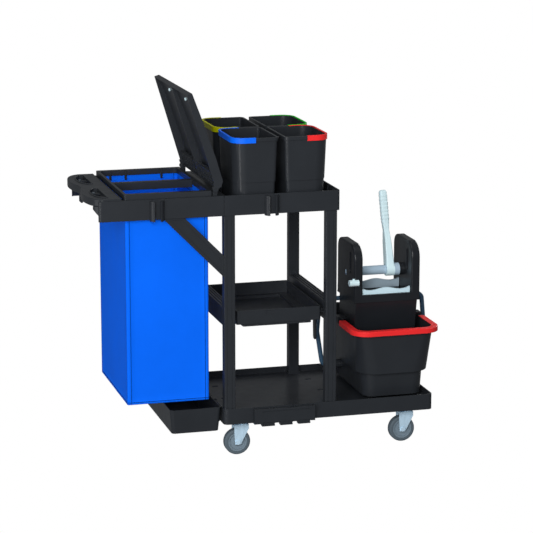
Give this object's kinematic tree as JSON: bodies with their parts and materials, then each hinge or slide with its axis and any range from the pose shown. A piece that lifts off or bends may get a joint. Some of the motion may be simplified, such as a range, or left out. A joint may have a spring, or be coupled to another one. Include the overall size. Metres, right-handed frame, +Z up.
{
  "type": "housekeeping cart",
  "caption": "Moulded cleaning cart on swivel casters with a lidded waste bag, drawer, small buckets and a mop bucket with a lever wringer.",
  "frame": {"origin": "middle of the footprint, on the floor under the casters", "axes": "+X from the push handle towards the mop bucket, +Y from front to back, +Z up"},
  "size_m": [1.4118, 0.5928, 1.3841],
  "materials": {
    "black_plastic": "fine moulded grain, satin",
    "bag_cloth": "coated woven cloth, slight sheen",
    "zinc_steel": "zinc plated",
    "white_plastic": "smooth moulded",
    "pale_plastic": "moulded, wet look",
    "shaft_grey": "moulded",
    "bail_paint": "powder coat",
    "red_plastic": "smooth moulded",
    "blue_plastic": "smooth moulded",
    "yellow_plastic": "smooth moulded",
    "green_plastic": "smooth moulded",
    "hub_grey": "moulded",
    "tyre_grey": "smooth rubber"
  },
  "bodies": {
    "cart": {"base_platform": "black_plastic", "front_left_post": "black_plastic", "front_right_post": "black_plastic", "back_left_post": "black_plastic", "back_right_post": "black_plastic", "left_drawer_rail": "black_plastic", "right_drawer_rail": "black_plastic", "bag_frame": "black_plastic", "bucket_tray": "black_plastic", "push_handle": "black_plastic", "front_brace": "black_plastic", "back_brace": "black_plastic", "bag_rim": "black_plastic", "waste_bag": "bag_cloth", "bag_clips": "black_plastic", "low_bin": "black_plastic", "tool_holder": "black_plastic", "beam_clips": "black_plastic", "rail_hanger": "black_plastic", "lid_hinge_pins": "black_plastic", "frame_screws": "zinc_steel", "caster_plates": "zinc_steel", "caster_bolts": "zinc_steel"},
    "lid": {"lid": "black_plastic", "lid_rivets": "white_plastic"},
    "drawer": {"drawer": "black_plastic"},
    "front_left_swivel": {"front_left_fork": "zinc_steel", "front_left_axle": "zinc_steel"},
    "front_left_wheel": {"front_left_hub": "hub_grey", "front_left_tyre": "tyre_grey"},
    "back_left_swivel": {"back_left_fork": "zinc_steel", "back_left_axle": "zinc_steel"},
    "back_left_wheel": {"back_left_hub": "hub_grey", "back_left_tyre": "tyre_grey"},
    "front_right_swivel": {"front_right_fork": "zinc_steel", "front_right_axle": "zinc_steel"},
    "front_right_wheel": {"front_right_hub": "hub_grey", "front_right_tyre": "tyre_grey"},
    "back_right_swivel": {"back_right_fork": "zinc_steel", "back_right_axle": "zinc_steel"},
    "back_right_wheel": {"back_right_hub": "hub_grey", "back_right_tyre": "tyre_grey"},
    "front_left_small_bucket": {"front_left_bucket": "black_plastic", "front_left_lip": "blue_plastic"},
    "back_left_small_bucket": {"back_left_bucket": "black_plastic", "back_left_lip": "yellow_plastic"},
    "front_right_small_bucket": {"front_right_bucket": "black_plastic", "front_right_lip": "red_plastic"},
    "back_right_small_bucket": {"back_right_bucket": "black_plastic", "back_right_lip": "green_plastic"},
    "mop_bucket": {"mop_bucket": "black_plastic", "mop_bucket_band": "red_plastic"},
    "bail": {"mop_bail": "bail_paint"},
    "wringer": {"wringer_basket": "black_plastic", "front_press": "pale_plastic", "wringer_latch": "white_plastic"},
    "lever": {"wringer_lever": "white_plastic", "cross_shaft": "shaft_grey"},
    "press": {"back_press": "pale_plastic", "press_carrier": "black_plastic"}
  },
  "joints": [
    {"name": "lid_hinge", "type": "hinge", "parent": "cart", "child": "lid", "pos_m": [-0.237, 0, 1.03], "axis": [0, 1, 0], "range_deg": [-73.3, 22]},
    {"name": "drawer_slide", "type": "slide", "parent": "cart", "child": "drawer", "axis": [0, -1, 0], "range_m": [0, 0.34]},
    {"name": "front_left_swivel_turn", "type": "hinge", "parent": "cart", "child": "front_left_swivel", "pos_m": [-0.122, -0.2025, 0.12], "axis": [0, 0, 1], "continuous": true},
    {"name": "front_left_wheel_spin", "type": "hinge", "parent": "front_left_swivel", "child": "front_left_wheel", "pos_m": [-0.144, -0.2025, 0.05], "axis": [0, 1, 0], "continuous": true},
    {"name": "back_left_swivel_turn", "type": "hinge", "parent": "cart", "child": "back_left_swivel", "pos_m": [-0.122, 0.2025, 0.12], "axis": [0, 0, 1], "continuous": true},
    {"name": "back_left_wheel_spin", "type": "hinge", "parent": "back_left_swivel", "child": "back_left_wheel", "pos_m": [-0.144, 0.2025, 0.05], "axis": [0, 1, 0], "continuous": true},
    {"name": "front_right_swivel_turn", "type": "hinge", "parent": "cart", "child": "front_right_swivel", "pos_m": [0.531, -0.2025, 0.12], "axis": [0, 0, 1], "continuous": true},
    {"name": "front_right_wheel_spin", "type": "hinge", "parent": "front_right_swivel", "child": "front_right_wheel", "pos_m": [0.509, -0.2025, 0.05], "axis": [0, 1, 0], "continuous": true},
    {"name": "back_right_swivel_turn", "type": "hinge", "parent": "cart", "child": "back_right_swivel", "pos_m": [0.531, 0.2025, 0.12], "axis": [0, 0, 1], "continuous": true},
    {"name": "back_right_wheel_spin", "type": "hinge", "parent": "back_right_swivel", "child": "back_right_wheel", "pos_m": [0.509, 0.2025, 0.05], "axis": [0, 1, 0], "continuous": true},
    {"name": "front_left_bucket_lift", "type": "slide", "parent": "cart", "child": "front_left_small_bucket", "axis": [0, 0, 1], "range_m": [0, 0.28]},
    {"name": "back_left_bucket_lift", "type": "slide", "parent": "cart", "child": "back_left_small_bucket", "axis": [0, 0, 1], "range_m": [0, 0.28]},
    {"name": "front_right_bucket_lift", "type": "slide", "parent": "cart", "child": "front_right_small_bucket", "axis": [0, 0, 1], "range_m": [0, 0.28]},
    {"name": "back_right_bucket_lift", "type": "slide", "parent": "cart", "child": "back_right_small_bucket", "axis": [0, 0, 1], "range_m": [0, 0.28]},
    {"name": "mop_bucket_lift", "type": "slide", "parent": "cart", "child": "mop_bucket", "axis": [0, 0, 1], "range_m": [0, 0.15]},
    {"name": "bail_hinge", "type": "hinge", "parent": "mop_bucket", "child": "bail", "pos_m": [0.477, 0.087, 0.243], "axis": [-1, 0, 0], "range_deg": [0, 30]},
    {"name": "wringer_lift", "type": "slide", "parent": "mop_bucket", "child": "wringer", "axis": [0, 0, 1], "range_m": [0, 0.2]},
    {"name": "lever_hinge", "type": "hinge", "parent": "wringer", "child": "lever", "pos_m": [0.511, -0.035, 0.639], "axis": [1, 0, 0], "range_deg": [0, 85]},
    {"name": "press_slide", "type": "slide", "parent": "wringer", "child": "press", "axis": [0, -1, 0], "range_m": [0, 0.09]}
  ],
  "couplings": [
    {"joint": "press_slide", "follows": "lever_hinge", "m_per_rad": 0.0573}
  ]
}
